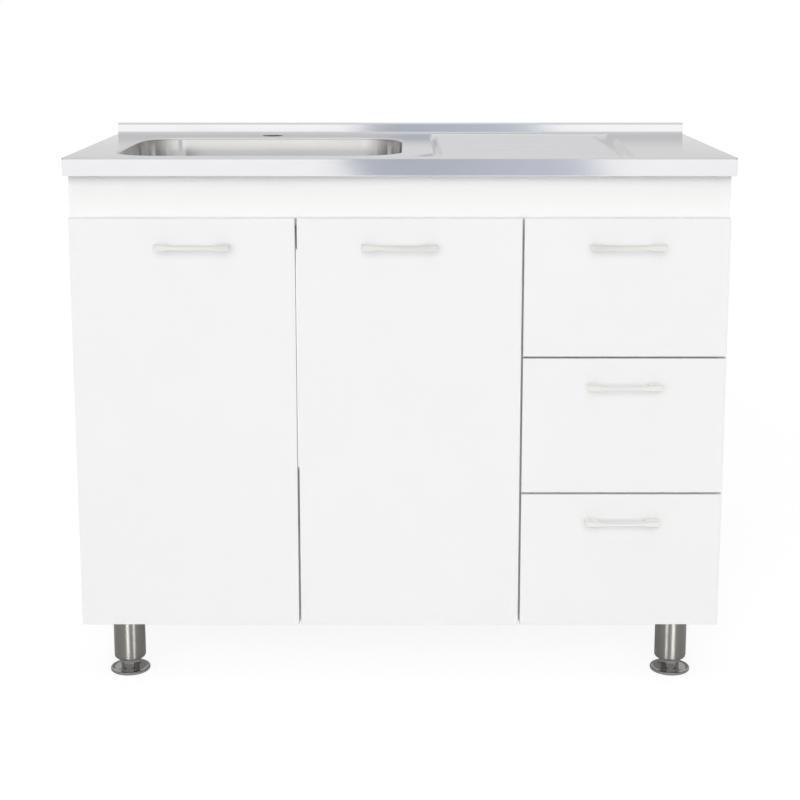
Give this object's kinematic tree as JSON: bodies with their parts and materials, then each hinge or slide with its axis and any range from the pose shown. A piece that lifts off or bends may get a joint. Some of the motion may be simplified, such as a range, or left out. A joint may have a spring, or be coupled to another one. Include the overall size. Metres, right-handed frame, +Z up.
{
  "type": "kitchen sink base unit",
  "caption": "White base cabinet with doors and drawers on steel legs, carrying a stainless steel lay-on sink top with a bowl on the left and a ribbed drainer on the right.",
  "frame": {"origin": "on the floor, under the middle of the overall box, handles included", "axes": "+Z up, the front faces -Y, +X is to the right seen from the front"},
  "size_m": [1, 0.522, 0.85],
  "materials": {
    "stainless": "bright pressed stainless steel, brushed on the drainer",
    "strainer_steel": "bright stainless steel",
    "black_rubber": "matt black rubber",
    "waste_plastic": "moulded white plastic",
    "zinc_plated": "zinc plated",
    "white_board": "white melamine-faced chipboard",
    "white_front": "white melamine-faced chipboard with edge band",
    "hardboard": "white-faced hardboard",
    "white_cap": "white plastic",
    "coated_steel": "white epoxy-coated steel",
    "hinge_steel": "nickel-plated steel",
    "handle_nickel": "brushed nickel",
    "leg_steel": "bright plated steel"
  },
  "bodies": {
    "cabinet": {"sink_deck": "stainless", "sink_bowl": "stainless", "bench_cleats": "zinc_plated", "waste_flange": "strainer_steel", "waste_seal": "black_rubber", "waste_body": "waste_plastic", "waste_screw": "strainer_steel", "side_panel_left": "white_board", "side_panel_right": "white_board", "divider_panel": "white_board", "bottom_panel": "white_board", "front_rail": "white_board", "rear_rail_top": "white_board", "rear_rail_bottom": "white_board", "drawer_bay_back": "hardboard", "carcass_screws": "zinc_plated", "screw_caps": "white_cap", "cabinet_runners_left": "coated_steel", "cabinet_runners_right": "coated_steel", "hinge_arms_left": "hinge_steel", "hinge_arms_centre": "hinge_steel", "hinge_arm_screws": "zinc_plated", "leg_front_left": "leg_steel", "leg_front_right": "leg_steel", "leg_rear_left": "leg_steel", "leg_rear_right": "leg_steel", "leg_plates": "zinc_plated", "leg_plate_screws": "zinc_plated"},
    "strainer": {"strainer_basket": "strainer_steel"},
    "door_assembly_left": {"door_left": "white_front", "handle_left": "handle_nickel", "hinge_cups_left": "hinge_steel", "handle_screws_left": "zinc_plated"},
    "door_assembly_centre": {"door_centre": "white_front", "handle_centre": "handle_nickel", "hinge_cups_centre": "hinge_steel", "handle_screws_centre": "zinc_plated"},
    "drawer_top": {"drawer_front_top": "white_front", "drawer_sides_top": "coated_steel", "drawer_back_top": "white_board", "drawer_bottom_top": "white_board", "handle_top": "handle_nickel", "handle_screws_top": "zinc_plated"},
    "drawer_middle": {"drawer_front_middle": "white_front", "drawer_sides_middle": "coated_steel", "drawer_back_middle": "white_board", "drawer_bottom_middle": "white_board", "handle_middle": "handle_nickel", "handle_screws_middle": "zinc_plated"},
    "drawer_bottom": {"drawer_front_bottom": "white_front", "drawer_sides_bottom": "coated_steel", "drawer_back_bottom": "white_board", "drawer_bottom_bottom": "white_board", "handle_bottom": "handle_nickel", "handle_screws_bottom": "zinc_plated"},
    "levelling_foot_front_left": {"foot_front_left": "leg_steel"},
    "levelling_foot_front_right": {"foot_front_right": "leg_steel"},
    "levelling_foot_rear_left": {"foot_rear_left": "leg_steel"},
    "levelling_foot_rear_right": {"foot_rear_right": "leg_steel"}
  },
  "joints": [
    {"name": "door_left_hinge", "type": "hinge", "parent": "cabinet", "child": "door_assembly_left", "pos_m": [-0.49375, -0.235, 0.4225], "axis": [0, 0, -1], "range_deg": [0, 105]},
    {"name": "door_centre_hinge", "type": "hinge", "parent": "cabinet", "child": "door_assembly_centre", "pos_m": [0.18325, -0.235, 0.4225], "axis": [0, 0, 1], "range_deg": [0, 90]},
    {"name": "drawer_top_slide", "type": "slide", "parent": "cabinet", "child": "drawer_top", "axis": [0, -1, 0], "range_m": [0, 0.33]},
    {"name": "drawer_middle_slide", "type": "slide", "parent": "cabinet", "child": "drawer_middle", "axis": [0, -1, 0], "range_m": [0, 0.33]},
    {"name": "drawer_bottom_slide", "type": "slide", "parent": "cabinet", "child": "drawer_bottom", "axis": [0, -1, 0], "range_m": [0, 0.33]},
    {"name": "strainer_lift", "type": "slide", "parent": "cabinet", "child": "strainer", "axis": [0, 0, 1], "range_m": [0, 0.1]},
    {"name": "foot_front_left_screw", "type": "slide", "parent": "cabinet", "child": "levelling_foot_front_left", "axis": [0, 0, -1], "range_m": [0, 0.015]},
    {"name": "foot_front_right_screw", "type": "slide", "parent": "cabinet", "child": "levelling_foot_front_right", "axis": [0, 0, -1], "range_m": [0, 0.015]},
    {"name": "foot_rear_left_screw", "type": "slide", "parent": "cabinet", "child": "levelling_foot_rear_left", "axis": [0, 0, -1], "range_m": [0, 0.015]},
    {"name": "foot_rear_right_screw", "type": "slide", "parent": "cabinet", "child": "levelling_foot_rear_right", "axis": [0, 0, -1], "range_m": [0, 0.015]}
  ]
}
